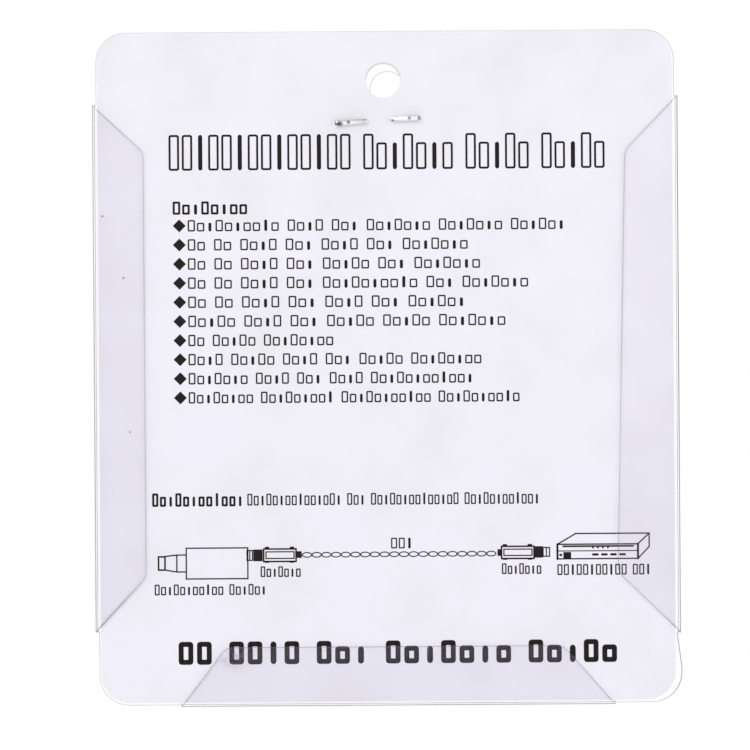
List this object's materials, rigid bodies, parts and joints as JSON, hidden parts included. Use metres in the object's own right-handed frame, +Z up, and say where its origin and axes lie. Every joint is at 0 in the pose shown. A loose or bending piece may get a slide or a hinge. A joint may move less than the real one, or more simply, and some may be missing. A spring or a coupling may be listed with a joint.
{
  "type": "stapled blister card pack",
  "caption": "Clear blister and printed backing card, folded over at three edges and stapled, holding a pair of screw-terminal video baluns.",
  "frame": {"origin": "centre of the card's hang hole, on the card's printed back", "axes": "+Z up as the pack hangs, +X to the right when the printed back is looked at, +Y from the back towards the bubble"},
  "size_m": [0.0867, 0.0177, 0.0998],
  "materials": {
    "card_board": "smooth white coated board with dark print",
    "clear_film": "clear thermoformed film, lightly scratched",
    "staple_wire": "bright drawn wire",
    "housing_plastic": "moulded, fine grain",
    "collar_plastic": "moulded",
    "plug_metal": "nickel plated, turned",
    "insulator_plastic": "milky white",
    "pin_metal": "gold plated",
    "board_laminate": "solder resist",
    "ferrite": "sintered, matt",
    "copper_wire": "enamelled wire",
    "terminal_plastic": "moulded",
    "clamp_metal": "tinned",
    "screw_metal": "zinc plated"
  },
  "bodies": {
    "root": {"backing_card": "card_board", "clear_blister": "clear_film", "staple": "staple_wire", "housing_base_a": "housing_plastic", "housing_cover_a": "housing_plastic", "collar_a": "collar_plastic", "plug_shell_a": "plug_metal", "insulator_a": "insulator_plastic", "centre_pin_a": "pin_metal", "circuit_board_a": "board_laminate", "ferrite_core_a": "ferrite", "coil_a": "copper_wire", "terminal_block_a": "terminal_plastic", "wire_clamps_a": "clamp_metal", "terminal_screws_a": "screw_metal", "housing_base_b": "housing_plastic", "housing_cover_b": "housing_plastic", "collar_b": "collar_plastic", "plug_shell_b": "plug_metal", "insulator_b": "insulator_plastic", "centre_pin_b": "pin_metal", "circuit_board_b": "board_laminate", "ferrite_core_b": "ferrite", "coil_b": "copper_wire", "terminal_block_b": "terminal_plastic", "wire_clamps_b": "clamp_metal", "terminal_screws_b": "screw_metal"},
    "coupling_nut_a": {"coupling_nut_a": "plug_metal"},
    "coupling_nut_b": {"coupling_nut_b": "plug_metal"}
  },
  "joints": [
    {"name": "nut_spin_a", "type": "hinge", "parent": "root", "child": "coupling_nut_a", "pos_m": [-0.0135, 0.0079, -0.0424], "axis": [0, 0, 1], "continuous": true},
    {"name": "nut_spin_b", "type": "hinge", "parent": "root", "child": "coupling_nut_b", "pos_m": [0.0135, 0.0079, -0.0424], "axis": [0, 0, 1], "continuous": true}
  ]
}
